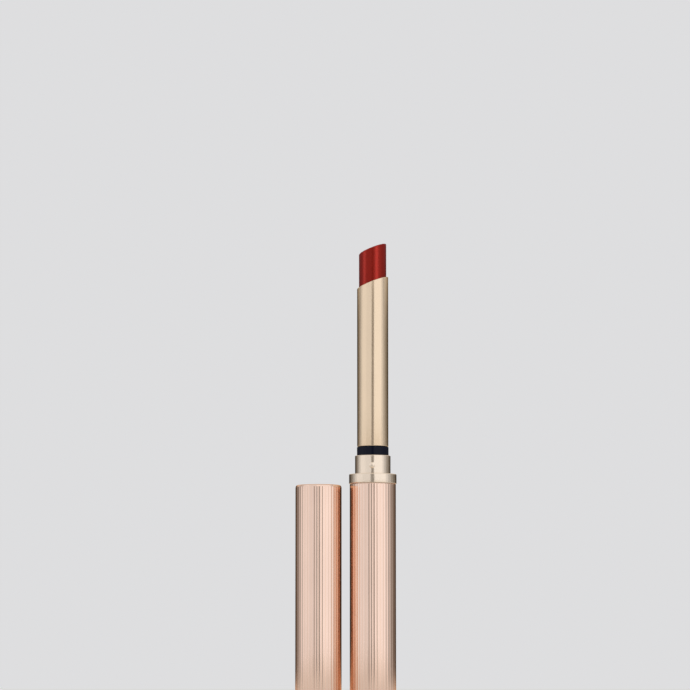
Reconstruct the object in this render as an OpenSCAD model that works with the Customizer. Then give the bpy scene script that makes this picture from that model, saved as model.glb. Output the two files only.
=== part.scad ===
// Slim twist-up lipstick case with its bullet raised and its cap standing beside it.
// Frame: origin at the centre of the base's underside, +Z up, +X to the right, -Y to the front.
// The cap stands mouth down at -X. Sizes are in millimetres.

/* [Case] */
// Outer diameter of the reeded base and cap, over the crests of the reeds
case_d = 12; // [10:0.1:15]
// Height of the base from the table to the top of its collar
base_h = 57.8; // [50:0.1:75]
// Wall of the two reeded shells
shell_wall = 0.5; // [0.4:0.05:0.6]
// Number of reeds around each shell
reed_count = 40; // [24:1:72]
// Depth of the valleys between the reeds
reed_depth = 0.05; // [0.02:0.01:0.12]
// Height of the plain rim at the foot of each shell
rim_h = 0.4; // [0.2:0.1:1]
// How far the plain rim and the cap's rounded top are set in from the valleys of the reeds
rim_set = 0.02; // [0.01:0.01:0.1]

/* [Collar and neck] */
// Height of the collar ring
collar_h = 2.5; // [1.5:0.1:4]
// How far the collar stands out past the reeds
collar_proud = 0.15; // [0:0.05:0.4]
// Height of the neck above the collar
neck_h = 4.8; // [4:0.1:8]
// Wall of the neck sleeve
neck_wall = 0.35; // [0.25:0.05:0.5]
// Length of the neck sleeve that is buried in the base
neck_insert = 8; // [6:0.5:12]
// Step of the buried flange that keeps the neck from pulling out
neck_step = 0.12; // [0.05:0.01:0.15]
// Number of snap pips around the neck
pip_count = 3; // [2:1:6]
// Width of a snap pip where it leaves the neck
pip_d = 1.5; // [0.8:0.1:2]
// How far a snap pip stands out of the neck
pip_proud = 0.25; // [0.1:0.05:0.3]
// Height of the snap pips above the collar
pip_rise = 2.1; // [1.5:0.1:3]
// Turn of the first snap pip from the front towards -X, in degrees
pip_turn = 3; // [-30:1:30]

/* [Guide tube and bullet] */
// Length of the guide tube on its long side
tube_h = 44.3; // [42:0.1:60]
// Step from the neck's outside in to the guide tube's outside
tube_step = 0.55; // [0.3:0.05:0.8]
// Wall of the guide tube
tube_wall = 0.25; // [0.2:0.05:0.4]
// Height of the plain band between the neck and the guide tube
band_h = 2.35; // [1.5:0.05:4]
// How far the band stands out past the guide tube
band_proud = 0.05; // [0:0.05:0.2]
// Slope of the guide tube's mouth and of the bullet's tip, in degrees
slant = 21.2; // [10:0.2:40]
// Turn of the slant's high side from +X towards the front, in degrees
slant_turn = 8; // [0:1:30]
// How far the bullet's tip is raised above the mouth's tip
bullet_raise = 8.8; // [0:0.05:9]

/* [Twist mechanism] */
// Rise of the bullet for one turn of the guide tube
lead = 9.6; // [8:0.1:12]
// Turns that bring the bullet down from where it stands
turns_down = 1; // [1:0.25:1.25]
// Turns that push the bullet further up from where it stands
turns_up = 1.5; // [1:0.25:1.5]
// Depth of the spiral grooves
groove_depth = 0.6; // [0.5:0.05:0.7]
// Wall of the spiral sleeve behind its grooves
spiral_wall = 0.42; // [0.3:0.02:0.5]
// Wall of the slotted body
slotted_wall = 0.7; // [0.5:0.05:0.8]
// Height of the two lugs that ride in the grooves
lug_h = 1; // [0.8:0.1:1.2]
// Width of the two lugs
lug_w = 1.3; // [1:0.1:1.5]
// Height of the follower that carries the lugs
follower_h = 3; // [2.5:0.1:5]
// Diameter of the push rod
rod_d = 3.2; // [2.5:0.1:3.6]
// Height of the bullet cup above its floor's underside
cup_h = 6; // [4:0.1:8]
// Wall of the bullet cup
cup_wall = 0.4; // [0.3:0.05:0.6]
// Thickness of the bullet cup's floor
cup_floor = 1.2; // [0.8:0.1:2]
// Length of the cup's socket for the rod
socket_h = 3; // [2:0.1:4]
// Height of the retaining ring
ring_h = 1.9; // [1.5:0.1:2.5]
// Thickness of the silicone friction ring
friction_d = 0.54; // [0.4:0.02:0.6]

/* [Foot] */
// Thickness of the foot plug
foot_h = 2.5; // [1.5:0.1:4]
// Height of the foot plug's boss inside the liner
foot_boss_h = 1; // [0.5:0.1:2]
// Diameter of the blank label under the foot
label_d = 8.4; // [6:0.1:9]
// Thickness of the label
label_t = 0.2; // [0.1:0.05:0.3]

/* [Cap] */
// Wall of the plastic liner inside the cap
cap_liner_wall = 0.8; // [0.6:0.05:1]
// Thickness of the cap shell's top
cap_top = 0.55; // [0.4:0.05:1]
// Thickness of the cap liner's top
cap_liner_top = 1; // [0.6:0.1:1.5]
// Free space above the guide tube when the cap is on
cap_headroom = 1.95; // [0.5:0.05:3]
// Radius of the cap's rounded top edge
cap_round = 0.5; // [0.2:0.05:1]
// How far the cap liner is set back from the rim
cap_setback = 0.3; // [0:0.1:0.3]
// Gap between the standing cap and the collar
cap_gap = 1.9; // [1:0.05:10]

/* [Clearances] */
// Gap of a pressed or glued fit
press_gap = 0.03; // [0.02:0.01:0.05]
// Gap of a running fit
run_gap = 0.1; // [0.08:0.01:0.12]
// Gap between the cap liner and the neck
cap_run = 0.07; // [0.05:0.01:0.1]
// Gap between the bullet and the guide tube
bullet_gap = 0.25; // [0.15:0.05:0.4]
// Gap between the bullet cup and the guide tube
cup_gap = 0.15; // [0.1:0.01:0.2]
// Gap between a lug's end and the root of its groove
lug_gap = 0.2; // [0.15:0.01:0.25]
// Gap between a lug's flank and the side of its groove
flank_gap = 0.15; // [0.1:0.01:0.2]
// Free travel left at each end of the mechanism
end_gap = 1; // [0.5:0.1:2]

/* [Hidden] */
$fn = 96;
over = 1;
edge = 0.15;
reed_steps = 4;

// Radii, from the outside in
case_r = case_d / 2;
plain_r = case_r - reed_depth - rim_set;
shell_bore_r = case_r - shell_wall;
lining_r = shell_bore_r - press_gap;
cap_bore_r = lining_r - cap_liner_wall;
neck_r = cap_bore_r - cap_run;
neck_bore_r = neck_r - neck_wall;
journal_r = neck_bore_r - run_gap;
insert_r = neck_r + neck_step;
liner_bore_r = insert_r + press_gap;
collar_r = case_r + collar_proud;
groove_r = insert_r - spiral_wall;
spiral_bore_r = groove_r - groove_depth;
slotted_r = spiral_bore_r - run_gap;
slotted_bore_r = slotted_r - slotted_wall;
follower_r = slotted_bore_r - run_gap;
lug_r = groove_r - lug_gap;
tube_r = neck_r - tube_step;
tube_bore_r = tube_r - tube_wall;
band_r = tube_r + band_proud;
bullet_r = tube_bore_r - bullet_gap;
cup_r = tube_bore_r - cup_gap;
heel_r = cup_r - cup_wall - press_gap;
label_r = label_d / 2;
rod_r = rod_d / 2;
pip_r = (pip_d * pip_d / 4 + pip_proud * pip_proud) / (2 * pip_proud);

// Heights of the base, from the table up
seat_z = base_h - collar_h;
neck_z = base_h + neck_h;
tube_z = neck_z + band_h;
mouth_z = tube_z + tube_h;
low_mouth_z = mouth_z - 2 * tube_r * tan(slant);
tip_z = mouth_z + bullet_raise;

// Travel of the mechanism and the heights that follow from it
travel_down = turns_down * lead;
travel_up = turns_up * lead;
spiral_top = base_h - neck_insert - press_gap;
spiral_h = travel_down + travel_up + lug_h + 2 * end_gap;
spiral_z = spiral_top - spiral_h;
lug_z = spiral_z + end_gap + lug_h / 2 + travel_down;
follower_z = lug_z - follower_h / 2;
cup_z = low_mouth_z - cup_h - travel_up - end_gap;
spigot_top = cup_z - travel_down - end_gap;
lip = 0.12;
lip_h = 0.3;
ring_z = spiral_z - run_gap - ring_h;
slotted_z = ring_z - press_gap - lip_h;
weight_top = slotted_z - end_gap / 2;
weight_z = foot_h + foot_boss_h;
slot_w = lug_w + 2 * run_gap;
slot_top = lug_z + travel_up + lug_h;
seal_z = base_h - neck_insert / 4;
seal_r = neck_bore_r - run_gap / 2 - friction_d / 2;

// The cap standing beside the base
cap_inside_h = neck_h + band_h + tube_h + cap_headroom;
cap_h = cap_inside_h + cap_liner_top + press_gap + cap_top;
cap_x = -(collar_r + cap_gap + case_r);

// A spiral groove's width around the axis that lets a lug of lug_h by lug_w run freely
lug_angle = 2 * asin(lug_w / 2 / spiral_bore_r);
groove_angle = lug_angle + 360 * (lug_h + 2 * flank_gap) / lead;
groove_steps = 3;
slices_per_turn = 20;

function polar(r, a) = [r * cos(a), r * sin(a)];

// Outline of a reeded shell: shallow arched reeds that meet in sharp valleys
function reed_outline(r) = [
    for (i = [0 : reed_count * reed_steps - 1])
        let (across = 2 * (i % reed_steps) / reed_steps - 1)
        polar(r - reed_depth * across * across, 360 * i / (reed_count * reed_steps))
];

module tube(r_out, r_in, z0, z1) {
    translate([0, 0, z0])
        difference() {
            cylinder(r = r_out, h = z1 - z0);
            translate([0, 0, -over])
                cylinder(r = r_in, h = z1 - z0 + 2 * over);
        }
}

module reeded_tube(z0, z1) {
    translate([0, 0, z0])
        difference() {
            linear_extrude(z1 - z0)
                polygon(reed_outline(case_r));
            translate([0, 0, -over])
                cylinder(r = shell_bore_r, h = z1 - z0 + 2 * over);
        }
}

// Plain rim at the foot of a shell, with its outer lower edge broken
module rim() {
    rotate_extrude()
        polygon([
            [shell_bore_r, 0], [plain_r - edge, 0], [plain_r, edge], [plain_r, rim_h], [shell_bore_r, rim_h]
        ]);
}

// Everything above a slanted plane whose high side touches radius r at height z
module above_slant(r, z) {
    reach = 4 * case_d;
    rotate([0, 0, -slant_turn])
        translate([r, 0, z])
            rotate([0, -slant, 0])
                translate([-reach / 2, -reach / 2, 0])
                    cube(reach);
}

// One spiral groove cutter, which passes angle 0 at the height of the lugs
module groove_cutter() {
    cut_h = spiral_h + 2 * over;
    start = lug_z - spiral_z + over;
    inner_r = spiral_bore_r - groove_depth / 2;
    outer_r = groove_r;
    arc = [for (i = [0 : groove_steps]) groove_angle * (i / groove_steps - 0.5)];
    translate([0, 0, spiral_z - over])
        rotate([0, 0, -360 * start / lead])
            linear_extrude(cut_h, twist = -360 * cut_h / lead, slices = ceil(slices_per_turn * cut_h / lead),
                           segments = 2 * groove_steps + 2)
                polygon(concat(
                    [for (a = arc) polar(outer_r, a)],
                    [for (i = [groove_steps : -1 : 0]) polar(inner_r, arc[i])]
                ));
}

module base_shell() {
    color("burlywood") {
        rim();
        reeded_tube(rim_h, seat_z - run_gap);
    }
}

module foot_plug() {
    color("dimgray")
        difference() {
            union() {
                cylinder(r = lining_r, h = foot_h);
                cylinder(r = insert_r, h = weight_z);
            }
            translate([0, 0, -over])
                cylinder(r = label_r + press_gap, h = label_t + over);
        }
}

module shade_label() {
    color("white")
        cylinder(r = label_r, h = label_t);
}

module base_weight() {
    color("slategray")
        rotate_extrude()
            polygon([
                [0, weight_z], [insert_r - edge, weight_z], [insert_r, weight_z + edge],
                [insert_r, weight_top - edge], [insert_r - edge, weight_top], [0, weight_top]
            ]);
}

module base_liner() {
    color("lightgray")
        tube(lining_r, liner_bore_r, foot_h, seat_z);
}

module collar() {
    color("wheat")
        rotate_extrude()
            polygon([
                [neck_r + press_gap, seat_z], [collar_r - edge, seat_z], [collar_r, seat_z + edge],
                [collar_r, base_h - edge], [collar_r - edge, base_h], [neck_r + press_gap, base_h]
            ]);
}

module neck_sleeve() {
    insert_z = base_h - neck_insert;
    flange_z = seat_z - press_gap;
    color("wheat")
        difference() {
            union() {
                rotate_extrude()
                    polygon([
                        [0, insert_z], [insert_r, insert_z], [insert_r, flange_z], [neck_r, flange_z],
                        [neck_r, neck_z - edge], [neck_r - edge, neck_z], [0, neck_z]
                    ]);
                for (i = [0 : pip_count - 1])
                    rotate([0, 0, 360 * i / pip_count - 90 - pip_turn])
                        translate([neck_r + pip_proud - pip_r, 0, base_h + pip_rise])
                            sphere(r = pip_r);
            }
            translate([0, 0, insert_z - over])
                cylinder(r = neck_bore_r, h = neck_z - insert_z + 2 * over);
        }
}

module spiral_sleeve() {
    color("ivory")
        difference() {
            tube(insert_r, spiral_bore_r, spiral_z, spiral_top);
            groove_cutter();
            rotate([0, 0, 180])
                groove_cutter();
        }
}

// Turning body: two slotted fingers below, a journal in the neck, the plain band and a spigot for the tube
module slotted_body() {
    journal_z = spiral_top + run_gap;
    journal_top = neck_z - 2 * edge;
    seal_groove_r = seal_r - friction_d / 2;
    seal_groove_h = friction_d + 2 * run_gap;
    shadow_h = edge;
    color("midnightblue")
        difference() {
            rotate_extrude()
                polygon([
                    [slotted_bore_r, slotted_z], [slotted_r, slotted_z], [slotted_r + lip, slotted_z + lip],
                    [slotted_r + lip, slotted_z + lip_h], [slotted_r, slotted_z + lip_h],
                    [slotted_r, journal_z], [journal_r, journal_z],
                    [journal_r, seal_z - seal_groove_h / 2], [seal_groove_r, seal_z - seal_groove_h / 2],
                    [seal_groove_r, seal_z + seal_groove_h / 2], [journal_r, seal_z + seal_groove_h / 2],
                    [journal_r, journal_top], [band_r, journal_top],
                    [band_r, tube_z - shadow_h], [tube_bore_r - press_gap, tube_z - shadow_h],
                    [tube_bore_r - press_gap, spigot_top], [slotted_bore_r, spigot_top]
                ]);
            translate([-case_r, -slot_w / 2, slotted_z - over])
                cube([case_d, slot_w, slot_top - slotted_z + over]);
        }
}

module retaining_ring() {
    color("gray")
        tube(liner_bore_r - run_gap, slotted_r + press_gap, ring_z, ring_z + ring_h);
}

module friction_ring() {
    color("black")
        rotate_extrude()
            translate([seal_r, seal_z])
                circle(d = friction_d);
}

module guide_tube() {
    color("wheat")
        difference() {
            rotate_extrude()
                polygon([
                    [tube_bore_r, tube_z], [tube_r - edge / 2, tube_z], [tube_r, tube_z + edge / 2],
                    [tube_r, mouth_z + over], [tube_bore_r, mouth_z + over]
                ]);
            above_slant(tube_r, mouth_z);
        }
}

// Push rod with the follower at its lower end, whose two lugs reach through the slots into the grooves
module plunger() {
    color("whitesmoke") {
        translate([0, 0, follower_z])
            cylinder(r = follower_r, h = follower_h);
        intersection() {
            translate([-case_r, -lug_w / 2, lug_z - lug_h / 2])
                cube([case_d, lug_w, lug_h]);
            translate([0, 0, follower_z])
                cylinder(r = lug_r, h = follower_h);
        }
        translate([0, 0, follower_z + follower_h / 2])
            cylinder(r = rod_r, h = cup_z - follower_z - follower_h / 2);
    }
}

module bullet_cup() {
    socket_r = rod_r + press_gap;
    color("ivory")
        difference() {
            union() {
                translate([0, 0, cup_z])
                    cylinder(r = cup_r, h = cup_h);
                translate([0, 0, cup_z - socket_h])
                    cylinder(r = follower_r, h = socket_h + cup_floor / 2);
            }
            translate([0, 0, cup_z + cup_floor])
                cylinder(r = cup_r - cup_wall, h = cup_h);
            translate([0, 0, cup_z - socket_h - over])
                cylinder(r = socket_r, h = socket_h + over);
        }
}

module bullet() {
    color("firebrick")
        difference() {
            union() {
                translate([0, 0, cup_z + cup_floor])
                    cylinder(r = heel_r, h = cup_h);
                translate([0, 0, cup_z + cup_h])
                    cylinder(r = bullet_r, h = tip_z - cup_z - cup_h + over);
            }
            above_slant(bullet_r, tip_z);
        }
}

module cap_shell() {
    dome_z = cap_h - cap_round;
    color("burlywood")
        translate([cap_x, 0, 0]) {
            rim();
            reeded_tube(rim_h, dome_z);
            difference() {
                translate([0, 0, dome_z])
                    rotate_extrude() {
                        square([plain_r - cap_round, cap_round]);
                        intersection() {
                            translate([plain_r - cap_round, 0])
                                circle(r = cap_round);
                            square([plain_r, cap_round]);
                        }
                    }
                translate([0, 0, dome_z - over])
                    cylinder(r = shell_bore_r, h = cap_h - cap_top - dome_z + over);
            }
        }
}

module cap_liner() {
    liner_h = cap_inside_h + cap_liner_top;
    groove_r = neck_r + pip_proud + cap_run;
    color("lightgray")
        translate([cap_x, 0, 0])
            difference() {
                translate([0, 0, cap_setback])
                    cylinder(r = lining_r, h = liner_h - cap_setback);
                translate([0, 0, cap_setback - over])
                    cylinder(r = cap_bore_r, h = cap_inside_h - cap_setback + over);
                translate([0, 0, pip_rise - pip_d / 2])
                    cylinder(r = groove_r, h = pip_d);
            }
}

base_shell();
foot_plug();
shade_label();
base_weight();
base_liner();
collar();
neck_sleeve();
spiral_sleeve();
slotted_body();
retaining_ring();
friction_ring();
guide_tube();
plunger();
bullet_cup();
bullet();
cap_shell();
cap_liner();
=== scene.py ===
"""Looks of a slim twist-up lipstick case with its bullet raised and its cap beside it.

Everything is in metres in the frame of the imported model: +Z up, -Y to the front, and the
origin under the base.
"""
from math import atan2, cos, hypot, pi, radians, sin, sqrt, tan

import bmesh
import bpy
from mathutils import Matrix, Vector


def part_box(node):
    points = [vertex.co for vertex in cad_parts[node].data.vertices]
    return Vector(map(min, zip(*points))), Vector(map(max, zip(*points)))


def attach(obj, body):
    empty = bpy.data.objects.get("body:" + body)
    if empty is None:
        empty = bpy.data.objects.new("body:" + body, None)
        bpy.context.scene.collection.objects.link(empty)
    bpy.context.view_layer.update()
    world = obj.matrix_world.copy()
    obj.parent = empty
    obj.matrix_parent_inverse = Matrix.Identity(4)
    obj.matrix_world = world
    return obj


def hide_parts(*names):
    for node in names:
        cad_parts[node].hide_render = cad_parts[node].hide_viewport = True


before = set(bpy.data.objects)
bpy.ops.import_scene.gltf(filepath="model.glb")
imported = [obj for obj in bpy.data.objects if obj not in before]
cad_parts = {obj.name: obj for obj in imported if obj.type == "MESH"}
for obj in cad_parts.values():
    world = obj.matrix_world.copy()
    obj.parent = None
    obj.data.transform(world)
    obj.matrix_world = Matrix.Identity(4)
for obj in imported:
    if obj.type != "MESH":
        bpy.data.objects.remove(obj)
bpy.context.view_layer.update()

MM = 0.001

# Details that the boxes of the CAD nodes don't give
REEDS = 40
REED_DEPTH = 0.05 * MM
RIM_H = 0.4 * MM
RIM_SET = 0.02 * MM
SHELL_WALL = 0.5 * MM
CAP_TOP = 0.55 * MM
NECK_R = 4.6 * MM
NECK_WALL = 0.35 * MM
TUBE_WALL = 0.25 * MM
HEEL_R = 3.22 * MM
SLANT = radians(21.2)
SLANT_TURN = radians(-8)
PIP_COUNT = 3
PIP_W = 1.5 * MM
PIP_PROUD = 0.25 * MM
PIP_RISE = 2.1 * MM
PIP_TURN = radians(-93)
PIP_BALL_R = ((PIP_W / 2) ** 2 + PIP_PROUD ** 2) / (2 * PIP_PROUD)
PRESS_GAP = 0.03 * MM

# Rounded edges
EDGE = 0.16 * MM
FINE_EDGE = 0.08 * MM
COLLAR_EDGE = 0.2 * MM
REED_END = 0.22 * MM
CAP_EDGE = 0.5 * MM
TUBE_FOOT_EDGE = 0.18 * MM
TUBE_BORE_EDGE = 0.04 * MM
TUBE_LIP = 0.1 * MM
STEP_CHAMFER = 0.1 * MM
HEEL_EDGE = 0.2 * MM
BULLET_FOOT_EDGE = 0.1 * MM
BULLET_EDGE = 0.3 * MM
BULLET_CROWN = 0.1 * MM

# How finely the meshes are divided
REED_COUNT = REEDS * 16
ROUND_STEPS = 5
PLAIN_COUNT = 192
NECK_COUNT = 300
BULLET_COUNT = 160
PIP_ROWS = 22
TIP_STEPS = 8
FACE_STEPS = 6
SMOOTH_ANGLE = radians(28)

# How strongly painted shade darkens the valleys of the reeds, and the deepest point that counts as
# a valley
VALLEY_PAINTED_SHADE = 0.32
VALLEY_LIMIT = 1.05


# ---------------------------------------------------------------- shapes

def half_width(node):
    """Half the extent of a round CAD node across Y."""
    lo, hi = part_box(node)
    return (hi.y - lo.y) / 2


def rounded(corners):
    """A profile of (radius, height) points from (radius, height, fillet) corners."""
    profile = []
    count = len(corners)
    for i, (r, z, fillet) in enumerate(corners):
        if not fillet:
            profile.append((r, z))
            continue
        here = Vector((r, z))
        to_last = (Vector(corners[i - 1][:2]) - here).normalized()
        to_next = (Vector(corners[(i + 1) % count][:2]) - here).normalized()
        half = to_last.angle(to_next) / 2
        start = here + to_last * fillet / tan(half)
        centre = here + (to_last + to_next).normalized() * fillet / sin(half)
        end = here + to_next * fillet / tan(half)
        a = atan2(start.y - centre.y, start.x - centre.x)
        b = atan2(end.y - centre.y, end.x - centre.x)
        turn = (b - a + pi) % (2 * pi) - pi
        for k in range(ROUND_STEPS + 1):
            angle = a + turn * k / ROUND_STEPS
            profile.append((centre.x + fillet * cos(angle), centre.y + fillet * sin(angle)))
    return profile


def ring_mesh(name, rings, centre_x=0.0):
    """A closed mesh through rings of points, each joined to the next.

    A ring of one point closes its end. With no such ring, the last ring is joined to the first.
    """
    bm = bmesh.new()
    made = [[bm.verts.new((x + centre_x, y, z)) for x, y, z in ring] for ring in rings]
    pairs = list(zip(made, made[1:]))
    if len(rings[0]) > 1 and len(rings[-1]) > 1:
        pairs.append((made[-1], made[0]))
    for low, high in pairs:
        count = max(len(low), len(high))
        for i in range(count):
            j = (i + 1) % count
            if len(low) == 1:
                bm.faces.new((low[0], high[j], high[i]))
            elif len(high) == 1:
                bm.faces.new((low[i], low[j], high[0]))
            else:
                bm.faces.new((low[i], low[j], high[j], high[i]))
    bmesh.ops.recalc_face_normals(bm, faces=bm.faces)
    mesh = bpy.data.meshes.new(name)
    bm.to_mesh(mesh)
    bm.free()
    mesh.shade_smooth()
    mesh.set_sharp_from_angle(angle=SMOOTH_ANGLE)
    piece = bpy.data.objects.new(name, mesh)
    bpy.context.scene.collection.objects.link(piece)
    return piece


def around(count, radius_at, height_at):
    """One ring of points, from functions of the angle for the radius and the height."""
    angles = [2 * pi * i / count for i in range(count)]
    return [(radius_at(a) * cos(a), radius_at(a) * sin(a), height_at(a)) for a in angles]


def plain_ring(r, z, count):
    """A round ring of points, or a single point where the radius is 0."""
    if r == 0:
        return [(0.0, 0.0, z)]
    return around(count, lambda a: r, lambda a: z)


def reed_drop(angle):
    """How far under its crests a reeded wall lies: arches that meet in sharp valleys."""
    across = 2 * (angle * REEDS / (2 * pi) % 1) - 1
    return REED_DEPTH * across * across


def reeded_ring(crest_r, z, strength, sink):
    """A ring of reeds: strength 1 has full valleys, 0 none. Sink is how far the crests lie in."""
    top_r = crest_r - sink
    return around(REED_COUNT, lambda a: top_r - strength * reed_drop(a), lambda a: z)


def reed_rows(crest_r, low, high):
    """Rings of a reeded wall whose reeds round off into a plain wall at both ends."""
    rows = []
    for k in range(ROUND_STEPS + 1):
        part = k / ROUND_STEPS
        rise = sqrt(1 - (1 - part) ** 2)
        rows.append((low + REED_END * part, rise, (REED_DEPTH + RIM_SET) * (1 - rise)))
    rows += [(high - (z - low), strength, sink) for z, strength, sink in reversed(rows)]
    return [reeded_ring(crest_r, z, strength, sink) for z, strength, sink in rows]


def mark_valley_shade(piece, crest_r, centre_x=0.0):
    """Stores how deep each point of a reeded wall lies, by which the metal's material paints shade
    into the valleys: 0 on the crests, 1 in the valleys.

    Points deeper than a valley, such as those of the bore, get 0 too.
    """
    marks = piece.data.attributes.new("valley", "FLOAT", "POINT")
    for mark, vertex in zip(marks.data, piece.data.vertices):
        depth = (crest_r - hypot(vertex.co.x - centre_x, vertex.co.y)) / REED_DEPTH
        mark.value = depth if 0 < depth < VALLEY_LIMIT else 0.0
    return piece


def finish_piece(piece, material, body, node):
    """Gives a piece its material in a material slot and its body, and hides the CAD node that it
    stands for.
    """
    piece.data.materials.append(material)
    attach(piece, body)
    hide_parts(node)


# ---------------------------------------------------------------- node materials

def ramp(tree, measure, start, end, low, high):
    """A number that goes from low to high as a measure goes from start to end."""
    node = tree.nodes.new("ShaderNodeMapRange")
    limits = {"From Min": start, "From Max": end, "To Min": low, "To Max": high}
    for key, value in limits.items():
        node.inputs[key].default_value = value
    tree.links.new(measure, node.inputs["Value"])
    return node.outputs["Result"]


class Nodes:
    """A small helper that adds and links the nodes of one material."""

    def __init__(self, name):
        self.material = bpy.data.materials.new(name)
        self.material.use_nodes = True
        self.tree = self.material.node_tree
        self.tree.nodes.clear()
        self.shader = self.add("ShaderNodeBsdfPrincipled")
        output = self.add("ShaderNodeOutputMaterial")
        self.link(self.shader.outputs["BSDF"], output.inputs["Surface"])
        self.place = self.add("ShaderNodeTexCoord").outputs["Object"]

    def add(self, kind, **settings):
        node = self.tree.nodes.new(kind)
        for key, value in settings.items():
            setattr(node, key, value)
        return node

    def link(self, source, target):
        self.tree.links.new(source, target)

    def set(self, **values):
        """Sets the shader's own sockets; an underscore in a name stands for a space."""
        for key, value in values.items():
            self.shader.inputs[key.replace("_", " ")].default_value = value

    def stretched(self, x, y, z):
        """The piece's own coordinates, scaled by axis."""
        node = self.add("ShaderNodeMapping")
        node.inputs["Scale"].default_value = (x, y, z)
        self.link(self.place, node.inputs["Vector"])
        return node.outputs["Vector"]

    def noise(self, vector, detail, roughness=0.5):
        """Soft noise in coordinates that are already scaled."""
        node = self.add("ShaderNodeTexNoise")
        node.inputs["Scale"].default_value = 1.0
        node.inputs["Detail"].default_value = detail
        node.inputs["Roughness"].default_value = roughness
        self.link(vector, node.inputs["Vector"])
        return node.outputs["Fac"]

    def between(self, factor, low, high, start=0.3, end=0.7):
        """A number that goes from low to high as the factor goes from start to end."""
        return ramp(self.tree, factor, start, end, low, high)

    def blend(self, factor, first, second, start=0.3, end=0.7):
        """A colour that goes from the first to the second as the factor goes from start to end."""
        node = self.add("ShaderNodeValToRGB")
        stops = node.color_ramp.elements
        stops[0].position, stops[0].color = start, (*first, 1)
        stops[1].position, stops[1].color = end, (*second, 1)
        self.link(factor, node.inputs["Fac"])
        return node.outputs["Color"]

    def mix(self, factor, first, second):
        """A colour that goes from the first, a node's output, to the second, a plain colour."""
        node = self.add("ShaderNodeMix", data_type="RGBA")
        self.link(factor, node.inputs[0])
        self.link(first, node.inputs[6])
        node.inputs[7].default_value = (*second, 1)
        return node.outputs[2]

    def bump(self, height, distance, under=None):
        """A relief of this depth, laid over another one if there is one under it."""
        node = self.add("ShaderNodeBump")
        node.inputs["Strength"].default_value = 1.0
        node.inputs["Distance"].default_value = distance
        self.link(height, node.inputs["Height"])
        if under is not None:
            self.link(under, node.inputs["Normal"])
        return node.outputs["Normal"]


def shades(colour, spread):
    """A slightly darker and a slightly paler shade of a colour."""
    dark = tuple(c * (1 - spread) for c in colour)
    pale = tuple(min(1, c * (1 + spread)) for c in colour)
    return dark, pale


def polished_metal(name, colour, edge_tint, low_roughness, high_roughness):
    """Lacquered anodised metal: drawing lines, clouded sheen, fine grain, and painted shade in the
    reed valleys.
    """
    n = Nodes(name)
    n.set(Metallic=1.0, Specular_Tint=(*edge_tint, 1))
    n.set(Coat_Weight=0.1, Coat_Roughness=0.12, Coat_IOR=1.45)
    clouds = n.noise(n.stretched(260, 260, 90), detail=3)
    lines = n.noise(n.stretched(9000, 9000, 120), detail=2)
    grain = n.noise(n.stretched(16000, 16000, 16000), detail=1)
    dark, pale = shades(colour, 0.03)
    # Painted shade: the reed valleys are darkened towards the colour squared, the deeper the darker
    depth = n.add("ShaderNodeAttribute", attribute_name="valley").outputs["Fac"]
    valley = n.between(depth, 0, VALLEY_PAINTED_SHADE, 0.5, 1)
    deep = tuple(c * c for c in colour)
    n.link(n.mix(valley, n.blend(clouds, dark, pale), deep), n.shader.inputs["Base Color"])
    n.link(n.between(clouds, low_roughness, high_roughness), n.shader.inputs["Roughness"])
    fine = n.bump(grain, 0.0006 * MM)
    n.link(n.bump(lines, 0.0012 * MM, under=fine), n.shader.inputs["Normal"])
    return n.material


def moulded_plastic(name, colour, low_roughness, high_roughness, gloss=0.5, skin_depth=0.004 * MM):
    """Injection-moulded plastic: slightly uneven colour and sheen, with a fine eroded skin."""
    n = Nodes(name)
    n.set(Specular_IOR_Level=gloss, IOR=1.5)
    flow = n.noise(n.stretched(300, 300, 120), detail=3)
    skin = n.noise(n.stretched(9000, 9000, 9000), detail=2)
    dark, pale = shades(colour, 0.06)
    n.link(n.blend(flow, dark, pale), n.shader.inputs["Base Color"])
    n.link(n.between(flow, low_roughness, high_roughness), n.shader.inputs["Roughness"])
    n.link(n.bump(skin, skin_depth), n.shader.inputs["Normal"])
    return n.material


def wax(name, colour):
    """Pressed lipstick: pigment and fine pearl in satin wax, with drag marks and tiny pits."""
    n = Nodes(name)
    n.set(Metallic=0.6, Specular_Tint=(0.9, 0.2, 0.15, 1), IOR=1.45)
    n.set(Coat_Weight=0.15, Coat_Roughness=0.2)
    pigment = n.noise(n.stretched(1800, 1800, 1200), detail=4)
    drag = n.noise(n.stretched(2600, 2600, 160), detail=3)
    pits = n.noise(n.stretched(7000, 7000, 7000), detail=2)
    dark, pale = shades(colour, 0.05)
    n.link(n.blend(pigment, dark, pale), n.shader.inputs["Base Color"])
    n.link(n.between(drag, 0.25, 0.29), n.shader.inputs["Roughness"])
    fine = n.bump(pits, 0.004 * MM)
    n.link(n.bump(drag, 0.003 * MM, under=fine), n.shader.inputs["Normal"])
    return n.material


def turned_steel(name, colour):
    """Turned bar: fine tool rings along its length."""
    n = Nodes(name)
    n.set(Metallic=1.0)
    rings = n.noise(n.stretched(60, 60, 9000), detail=2)
    stain = n.noise(n.stretched(400, 400, 400), detail=4)
    dark, pale = shades(colour, 0.12)
    n.link(n.blend(stain, dark, pale), n.shader.inputs["Base Color"])
    n.link(n.between(rings, 0.25, 0.42), n.shader.inputs["Roughness"])
    n.link(n.bump(rings, 0.003 * MM), n.shader.inputs["Normal"])
    return n.material


def silicone(name, colour):
    """Matt silicone rubber with a dusting of talc."""
    n = Nodes(name)
    n.set(Sheen_Weight=0.2, Sheen_Roughness=0.5)
    talc = n.noise(n.stretched(3000, 3000, 3000), detail=4)
    dark, pale = shades(colour, 0.3)
    n.link(n.blend(talc, dark, pale, 0.45, 0.75), n.shader.inputs["Base Color"])
    n.link(n.between(talc, 0.55, 0.75), n.shader.inputs["Roughness"])
    n.link(n.bump(talc, 0.006 * MM), n.shader.inputs["Normal"])
    return n.material


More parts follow.
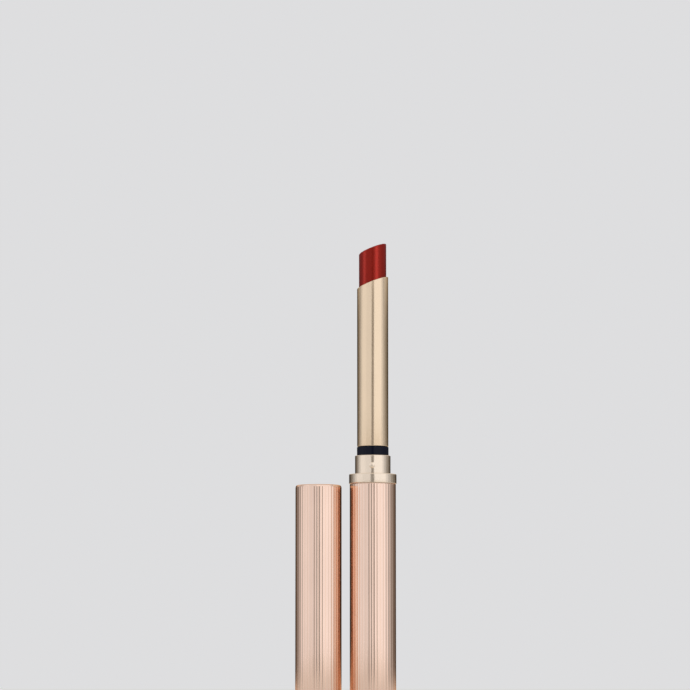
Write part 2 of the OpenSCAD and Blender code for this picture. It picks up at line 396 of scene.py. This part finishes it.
def label_film(name, colour):
    """Blank self-adhesive label of satin film with a faint paper fibre."""
    n = Nodes(name)
    fibre = n.noise(n.stretched(2200, 5200, 3000), detail=5, roughness=0.65)
    dark, pale = shades(colour, 0.04)
    n.link(n.blend(fibre, dark, pale), n.shader.inputs["Base Color"])
    n.link(n.between(fibre, 0.45, 0.6), n.shader.inputs["Roughness"])
    n.link(n.bump(fibre, 0.004 * MM), n.shader.inputs["Normal"])
    return n.material


def make_materials():
    """One material for each of the record's material slots."""
    return {
        "rose_metal": polished_metal(
            "rose_metal_look", (0.91, 0.67, 0.54), (1.0, 0.62, 0.36), 0.05, 0.08
        ),
        "champagne_metal": polished_metal(
            "champagne_metal_look", (0.875, 0.735, 0.59), (1.0, 0.8, 0.6), 0.12, 0.17
        ),
        "gold_metal": polished_metal(
            "gold_metal_look", (0.86, 0.675, 0.48), (1.0, 0.75, 0.45), 0.14, 0.19
        ),
        "navy_plastic": moulded_plastic(
            "navy_plastic_look", (0.0015, 0.0025, 0.009), 0.12, 0.16,
            gloss=0.14, skin_depth=0.0008 * MM,
        ),
        "red_wax": wax("red_wax_look", (0.205, 0.0085, 0.004)),
        "white_plastic": moulded_plastic("white_plastic_look", (0.76, 0.74, 0.69), 0.38, 0.5),
        "grey_plastic": moulded_plastic("grey_plastic_look", (0.16, 0.155, 0.15), 0.35, 0.48),
        "steel": turned_steel("steel_look", (0.52, 0.51, 0.49)),
        "silicone": silicone("silicone_look", (0.02, 0.02, 0.022)),
        "label_paper": label_film("label_paper_look", (0.78, 0.77, 0.74)),
    }


# ---------------------------------------------------------------- pieces

def shell_radii(node):
    """Crest radius, plain radius and bore radius of a reeded shell."""
    crest = half_width(node)
    return crest, crest - REED_DEPTH - RIM_SET, crest - SHELL_WALL


def reeded_base_shell():
    """The base's outer shell: a rounded foot rim, reeds and its bore."""
    lo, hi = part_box("base_shell")
    crest, plain, bore = shell_radii("base_shell")
    foot = rounded([(bore, lo.z, 0), (plain, lo.z, EDGE), (plain, lo.z + RIM_H, 0)])
    rings = [plain_ring(r, z, REED_COUNT) for r, z in foot]
    rings += reed_rows(crest, lo.z + RIM_H, hi.z)
    rings.append(plain_ring(bore, hi.z, REED_COUNT))
    return mark_valley_shade(ring_mesh("reeded_base_shell", rings), crest)


def reeded_cap_shell():
    """The cap's outer shell: a rim, reeds, a softly rounded closed top, and its bore."""
    lo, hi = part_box("cap_shell")
    crest, plain, bore = shell_radii("cap_shell")
    inner_z = hi.z - CAP_TOP
    foot = rounded([(bore, lo.z, 0), (plain, lo.z, EDGE), (plain, lo.z + RIM_H, 0)])
    crown_z = hi.z - CAP_EDGE
    crown = rounded([(plain, crown_z, 0), (plain, hi.z, CAP_EDGE), (bore / 2, hi.z, 0)])[1:]
    rings = [plain_ring(r, inner_z, REED_COUNT) for r in (0, bore)]
    rings += [plain_ring(r, z, REED_COUNT) for r, z in foot]
    rings += reed_rows(crest, lo.z + RIM_H, crown_z)
    rings += [plain_ring(r, z, REED_COUNT) for r, z in crown]
    rings.append(plain_ring(0, hi.z, REED_COUNT))
    centre_x = (lo.x + hi.x) / 2
    return mark_valley_shade(ring_mesh("reeded_cap_shell", rings, centre_x), crest, centre_x)


def collar_ring():
    """The wide ring between base and neck, with softly rounded edges."""
    lo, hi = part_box("collar")
    outer = half_width("collar")
    inner = NECK_R + PRESS_GAP
    profile = rounded([
        (inner, lo.z, 0), (outer, lo.z, EDGE), (outer, hi.z, COLLAR_EDGE), (inner, hi.z, FINE_EDGE),
    ])
    return ring_mesh("collar_ring", [plain_ring(r, z, PLAIN_COUNT) for r, z in profile])


def pip_rise(angle, z, collar_top):
    """How far a snap pip lifts the neck's surface at this place."""
    height = 0.0
    for i in range(PIP_COUNT):
        centre = PIP_TURN + 2 * pi * i / PIP_COUNT
        off = (angle - centre + pi) % (2 * pi) - pi
        away = hypot(off * NECK_R, z - collar_top - PIP_RISE)
        if away < PIP_W / 2:
            height = sqrt(PIP_BALL_R ** 2 - away ** 2) - (PIP_BALL_R - PIP_PROUD)
    return height


def pipped_neck():
    """The neck sleeve: snap pips, a rounded top edge and the stepped part inside the base."""
    lo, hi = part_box("neck_sleeve")
    collar_lo, collar_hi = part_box("collar")
    buried_r = (hi.x - lo.x) / 2
    bore = NECK_R - NECK_WALL
    flange_z = collar_lo.z - PRESS_GAP
    low_pip = collar_hi.z + PIP_RISE - PIP_W / 2
    wall = [collar_hi.z, low_pip - STEP_CHAMFER]
    wall += [low_pip + PIP_W * k / PIP_ROWS for k in range(PIP_ROWS + 1)]
    wall.append(low_pip + PIP_W + STEP_CHAMFER)
    foot = [
        (bore, lo.z), (buried_r - STEP_CHAMFER, lo.z), (buried_r, lo.z + STEP_CHAMFER),
        (buried_r, flange_z), (NECK_R, flange_z),
    ]
    top = rounded([
        (NECK_R, wall[-1], 0), (NECK_R, hi.z, EDGE), (bore, hi.z, FINE_EDGE), (bore, lo.z, 0),
    ])[1:-1]
    rings = [plain_ring(r, z, NECK_COUNT) for r, z in foot]
    for z in wall:
        rings.append(around(
            NECK_COUNT, lambda a: NECK_R + pip_rise(a, z, collar_hi.z), lambda a: z
        ))
    rings += [plain_ring(r, z, NECK_COUNT) for r, z in top]
    return ring_mesh("pipped_neck", rings)


def slanted(r, drop, top_z, top_r, count):
    """A ring on a slanted plane, less a drop. The plane is highest, top_z, at radius top_r."""
    def height(angle):
        along = r * cos(angle - SLANT_TURN)
        return top_z - (top_r - along) * tan(SLANT) - drop
    if r == 0:
        return [(0.0, 0.0, height(0))]
    return around(count, lambda a: r, height)


def slanted_guide_tube():
    """The tube round the bullet: a rounded lower edge and a slanted mouth with a rounded lip."""
    lo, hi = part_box("guide_tube")
    outer = half_width("guide_tube")
    bore = outer - TUBE_WALL
    foot = rounded([
        (bore, lo.z, TUBE_BORE_EDGE), (outer, lo.z, TUBE_FOOT_EDGE), (outer, hi.z, 0),
    ])[:-1]
    angles = [pi / 2 * k / ROUND_STEPS for k in range(ROUND_STEPS + 1)]
    lip = [(outer - TUBE_LIP * (1 - cos(a)), TUBE_LIP * (1 - sin(a))) for a in angles]
    lip += [(bore + TUBE_LIP * (1 - sin(a)), TUBE_LIP * (1 - cos(a))) for a in angles]
    rings = [plain_ring(r, z, PLAIN_COUNT) for r, z in foot]
    rings += [slanted(r, drop, hi.z, outer, PLAIN_COUNT) for r, drop in lip]
    return ring_mesh("slanted_guide_tube", rings)


def lipstick_bullet():
    """The bullet: a heel in the cup, a straight wall, and a slanted tip with a faint crown."""
    lo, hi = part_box("bullet")
    cup_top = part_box("bullet_cup")[1].z
    outer = half_width("bullet")
    wall = rounded([
        (0.0, lo.z, 0), (HEEL_R, lo.z, HEEL_EDGE), (HEEL_R, cup_top, 0),
        (outer, cup_top, BULLET_FOOT_EDGE), (outer, hi.z, 0),
    ])[1:-1]
    angles = [pi / 2 * k / TIP_STEPS for k in range(TIP_STEPS + 1)]
    tip = [(outer - BULLET_EDGE * (1 - cos(a)), BULLET_EDGE * (1 - sin(a))) for a in angles]
    for k in range(1, FACE_STEPS + 1):
        part = k / FACE_STEPS
        tip.append(((outer - BULLET_EDGE) * (1 - part), BULLET_CROWN * sin(pi / 2 * part)))
    rings = [plain_ring(0, lo.z, BULLET_COUNT)]
    rings += [plain_ring(r, z, BULLET_COUNT) for r, z in wall]
    rings += [slanted(r, drop, hi.z, outer, BULLET_COUNT) for r, drop in tip]
    return ring_mesh("lipstick_bullet", rings)


def make_pieces(materials):
    """The detailed pieces, and the materials of the CAD nodes that stay."""
    made = [
        (reeded_base_shell(), "base", "base_shell"),
        (reeded_cap_shell(), "cap", "cap_shell"),
        (collar_ring(), "base", "collar"),
        (pipped_neck(), "base", "neck_sleeve"),
        (slanted_guide_tube(), "turner", "guide_tube"),
        (lipstick_bullet(), "feed", "bullet"),
    ]
    slots = {name: node.material_slots[0].material.name for name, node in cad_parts.items()}
    for piece, body, node in made:
        finish_piece(piece, materials[slots[node]], body, node)
    replaced = {node for _, _, node in made}
    for name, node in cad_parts.items():
        if name not in replaced:
            node.material_slots[0].material = materials[slots[name]]


# ---------------------------------------------------------------- studio

# Azimuths are in degrees round the object: 0 in front, 90 to its right, -90 to its left
CENTRE = Vector((-7.2 * MM, 0.0, 0.0))

EYE = CENTRE + Vector((0.0, -0.85, 3 * MM))
AIM = CENTRE + Vector((0.0, 0.0, 91.5 * MM))
VIEW_WIDTH = 179.5 * MM
NEAR_CLIP = 0.01

PANEL_DISTANCE = 1.2
PANEL_HEIGHT = 1.5
STRIP_DISTANCE = 1.1
LIGHT_COLOUR = (0.975, 0.985, 1.02)
OVERHEAD_SIZE = (1.6, 1.2)
OVERHEAD_PLACE = Vector((0.0, -0.2, 1.7))
OVERHEAD_RADIANCE = 0.22

BACKDROP = (0.73, 0.73, 0.74)
BACKDROP_TONE = 0.73
AMBIENT = 1.0
FLOOR_REACH = 6.0
FLOOR_TONE = 0.71

CARD_COLOUR = (1.0, 0.97, 0.94)
CARD_GAP = 0.05
CEILING_SIZE = (3.0, 4.0)
CEILING_PLACE = Vector((0.0, -1.3, 1.8))
CEILING_RADIANCE = 0.75

# The gap between the front lights: a grey card up to a height, a bright one above it
GAP_START, GAP_END = -10, 7
GAP_SPLIT = 0.5
GAP_LOW_RADIANCE = 0.32
GAP_HIGH_RADIANCE = 1.1
GAP_FLOOR_RADIANCE = 0.26

# The cards behind the object: even up to a height, then fading to the backdrop's tone at the top
BACK_EVEN = 0.28
BACK_TOP = 0.45

# The cards on the floor: the floor's tone at the near end, their own radiance from full on
FLOOR_CARD_Z = 0.2 * MM
FLOOR_CARD_NEAR = 0.03
FLOOR_CARD_FULL = 0.5
FLOOR_SHARE = 0.8

# Name, azimuths from start to end, radiance
PANELS = (
    ("left_front", GAP_START, -50, 0.85),
    ("left_side", -50, -86, 0.92),
    ("left_fade", -86, -100, 0.72),
    ("left_edge", -100, -116, 0.45),
    ("right_front", GAP_END, 66, 1.06),
    ("right_side", 66, 80, 0.82),
    ("right_edge", 80, 97, 0.56),
)
STRIPS = (
    ("left_strip", -64, -88, 1.1),
    ("right_strip", 20, 46, 1.7),
)
# Name, azimuths from start to end, radiance, radiance of its card on the floor
BACK_CARDS = (
    ("left_far", -116, -135, 0.22, 0.4),
    ("left_back", -135, -180, 0.07, 0.5),
    ("right_fade", 97, 115, 0.34, 0.34),
    ("right_far", 115, 135, 0.2, 0.4),
    ("right_back", 135, 180, 0.07, 0.5),
)


def direction(azimuth):
    """The level way from the object at this azimuth."""
    return Vector((sin(radians(azimuth)), -cos(radians(azimuth)), 0.0))


def panel_size(start, end, distance):
    """Width of a flat panel at this distance that fills the azimuths from start to end."""
    return 2 * distance * tan(radians(abs(end - start) / 2))


def stand(thing, azimuth, distance, raised):
    """Puts a light or card at this azimuth and distance from the object, facing it."""
    way = direction(azimuth)
    thing.location = CENTRE + way * distance + Vector((0, 0, raised))
    thing.rotation_euler = way.to_track_quat("Z", "Y").to_euler()


def linked(name, piece, state):
    """A collection that makes a light reach only this piece (INCLUDE) or all but it (EXCLUDE)."""
    group = bpy.data.collections.new(name)
    group.objects.link(piece)
    group.collection_objects[0].light_linking.link_state = state
    return group


def area_lamp(name, width, height, radiance):
    """A soft rectangular light that the camera doesn't see."""
    light = bpy.data.lights.new(name, "AREA")
    light.shape = "RECTANGLE"
    light.size = width
    light.size_y = height
    light.energy = pi * radiance * light.size * light.size_y
    lamp = bpy.data.objects.new(name, light)
    bpy.context.scene.collection.objects.link(lamp)
    lamp.visible_camera = False
    return lamp


def soft_panel(name, start, end, radiance, reach):
    """A tall soft light that fills the azimuths, with a dark card behind it."""
    lamp = area_lamp(name, panel_size(start, end, PANEL_DISTANCE), PANEL_HEIGHT, radiance)
    lamp.data.color = LIGHT_COLOUR
    lamp.light_linking.receiver_collection = reach
    stand(lamp, (start + end) / 2, PANEL_DISTANCE, PANEL_HEIGHT / 2)
    grey_card(name + "_back", start, end, 0.0)


def bullet_strip(name, start, end, radiance, bullet):
    """A soft strip that only the bullet catches, for the satin bands down its wall."""
    lamp = area_lamp(name, panel_size(start, end, STRIP_DISTANCE), PANEL_HEIGHT, radiance)
    lamp.light_linking.receiver_collection = bullet
    stand(lamp, (start + end) / 2, STRIP_DISTANCE, PANEL_HEIGHT / 2)


def overhead_light():
    """A wide soft light above the object, for the floor and the tops."""
    lamp = area_lamp("overhead", *OVERHEAD_SIZE, OVERHEAD_RADIANCE)
    lamp.location = CENTRE + OVERHEAD_PLACE
    lamp.visible_glossy = False


def flat_mesh(name, corners):
    """A mesh of one flat face."""
    bm = bmesh.new()
    bm.faces.new([bm.verts.new(corner) for corner in corners])
    mesh = bpy.data.meshes.new(name)
    bm.to_mesh(mesh)
    bm.free()
    return mesh


def rectangle(width, low, high):
    """Corners of a rectangle in its own XY plane, from low to high along Y."""
    half = width / 2
    return [(-half, low, 0), (half, low, 0), (half, high, 0), (-half, high, 0)]


def near_to_far(tree, place, radiance):
    """The strength of a floor card: the floor's tone by the object, its own radiance far off."""
    away = tree.nodes.new("ShaderNodeVectorMath")
    away.operation = "DISTANCE"
    away.inputs[1].default_value = CENTRE
    tree.links.new(place, away.inputs[0])
    return ramp(tree, away.outputs["Value"], FLOOR_CARD_NEAR, FLOOR_CARD_FULL, FLOOR_TONE, radiance)


def low_to_high(tree, place, radiance):
    """The strength of a low card: its own radiance below, the backdrop's tone at its top."""
    split = tree.nodes.new("ShaderNodeSeparateXYZ")
    tree.links.new(place, split.inputs[0])
    return ramp(tree, split.outputs["Y"], BACK_EVEN, BACK_TOP, radiance, BACKDROP_TONE)


def card_mesh(name, corners, radiance, shading=None):
    """A flat glowing card that only reflections see."""
    material = bpy.data.materials.new(name)
    material.use_nodes = True
    tree = material.node_tree
    tree.nodes.clear()
    glow = tree.nodes.new("ShaderNodeEmission")
    glow.inputs["Color"].default_value = (*CARD_COLOUR, 1)
    glow.inputs["Strength"].default_value = radiance
    if shading:
        place = tree.nodes.new("ShaderNodeTexCoord").outputs["Object"]
        tree.links.new(shading(tree, place, radiance), glow.inputs["Strength"])
    output = tree.nodes.new("ShaderNodeOutputMaterial")
    tree.links.new(glow.outputs["Emission"], output.inputs["Surface"])
    card = bpy.data.objects.new(name, flat_mesh(name, corners))
    card.data.materials.append(material)
    bpy.context.scene.collection.objects.link(card)
    card.visible_camera = False
    card.visible_diffuse = False
    card.visible_transmission = False
    card.visible_shadow = False
    return card


def grey_card(name, start, end, radiance, low=0.0, high=PANEL_HEIGHT + CARD_GAP, shading=None):
    """An upright card just beyond the distance of the lights, which gives the metal its tones."""
    distance = PANEL_DISTANCE + CARD_GAP
    width = panel_size(start, end, distance)
    card = card_mesh(name, rectangle(width, low, high), radiance, shading)
    stand(card, (start + end) / 2, distance, 0)


def floor_card(name, start, end, radiance):
    """A card lying on the floor before a light or upright card, as if polish mirrored it."""
    reach = 1 / cos(radians((end - start) / 2))
    ends = (
        (start, FLOOR_CARD_NEAR), (end, FLOOR_CARD_NEAR),
        (end, PANEL_DISTANCE), (start, PANEL_DISTANCE),
    )
    corners = [
        CENTRE + direction(azimuth) * distance * reach + Vector((0, 0, FLOOR_CARD_Z))
        for azimuth, distance in ends
    ]
    card_mesh(name + "_on_floor", corners, radiance, near_to_far)


def ceiling():
    """The ceiling that rounded top edges reflect."""
    width, depth = CEILING_SIZE
    card = card_mesh("ceiling", rectangle(width, 0, depth), CEILING_RADIANCE)
    card.location = CENTRE + CEILING_PLACE


def floor():
    """A plain pale floor under the object, far wider than any view."""
    corners = rectangle(2 * FLOOR_REACH, -FLOOR_REACH, FLOOR_REACH)
    plane = bpy.data.objects.new("floor", flat_mesh("floor", corners))
    bpy.context.scene.collection.objects.link(plane)
    n = Nodes("floor_look")
    n.set(Specular_IOR_Level=0.0)
    specks = n.noise(n.stretched(300, 300, 300), detail=3)
    n.link(n.blend(specks, (0.88, 0.88, 0.88), (0.90, 0.90, 0.90)), n.shader.inputs["Base Color"])
    n.link(n.between(specks, 0.75, 0.85), n.shader.inputs["Roughness"])
    plane.data.materials.append(n.material)
    return plane


def studio_world():
    """A pale world: a backdrop for what is seen or mirrored, and ambient light for the rest."""
    world = bpy.data.worlds.new("studio")
    bpy.context.scene.world = world
    world.use_nodes = True
    tree = world.node_tree
    tree.nodes.clear()
    path = tree.nodes.new("ShaderNodeLightPath")
    seen = path.outputs["Is Camera Ray"]
    for ray in ("Is Glossy Ray", "Is Transmission Ray"):
        either = tree.nodes.new("ShaderNodeMath")
        either.operation = "MAXIMUM"
        tree.links.new(seen, either.inputs[0])
        tree.links.new(path.outputs[ray], either.inputs[1])
        seen = either.outputs[0]
    shown = tree.nodes.new("ShaderNodeBackground")
    shown.inputs["Color"].default_value = (*BACKDROP, 1)
    fill = tree.nodes.new("ShaderNodeBackground")
    fill.inputs["Strength"].default_value = AMBIENT
    mix = tree.nodes.new("ShaderNodeMixShader")
    output = tree.nodes.new("ShaderNodeOutputWorld")
    tree.links.new(seen, mix.inputs["Fac"])
    tree.links.new(fill.outputs[0], mix.inputs[1])
    tree.links.new(shown.outputs[0], mix.inputs[2])
    tree.links.new(mix.outputs[0], output.inputs["Surface"])


def camera():
    """A long lens near table height, tilted up until the foot of the case is out of view."""
    way = AIM - EYE
    data = bpy.data.cameras.new("camera")
    data.lens = data.sensor_width * way.length / VIEW_WIDTH
    data.clip_start = NEAR_CLIP
    made = bpy.data.objects.new("camera", data)
    bpy.context.scene.collection.objects.link(made)
    made.location = EYE
    made.rotation_euler = way.to_track_quat("-Z", "Y").to_euler()
    bpy.context.scene.camera = made


def make_studio():
    """The floor, the lights round the object, the cards for its reflections, and the world."""
    all_but_floor = linked("all_but_floor", floor(), "EXCLUDE")
    for name, start, end, radiance in PANELS:
        soft_panel(name, start, end, radiance, all_but_floor)
        floor_card(name, start, end, radiance * FLOOR_SHARE)
    bullet = linked("only_bullet", bpy.data.objects["lipstick_bullet"], "INCLUDE")
    for strip in STRIPS:
        bullet_strip(*strip, bullet)
    overhead_light()
    grey_card("camera_gap", GAP_START, GAP_END, GAP_LOW_RADIANCE, high=GAP_SPLIT)
    grey_card("over_camera", GAP_START, GAP_END, GAP_HIGH_RADIANCE, low=GAP_SPLIT)
    floor_card("camera_gap", GAP_START, GAP_END, GAP_FLOOR_RADIANCE)
    for name, start, end, radiance, on_floor in BACK_CARDS:
        grey_card(name, start, end, radiance, high=BACK_TOP, shading=low_to_high)
        floor_card(name, start, end, on_floor)
    ceiling()
    studio_world()
    bpy.context.scene.view_settings.view_transform = "Standard"


# ---------------------------------------------------------------- scene

camera()
make_pieces(make_materials())
make_studio()
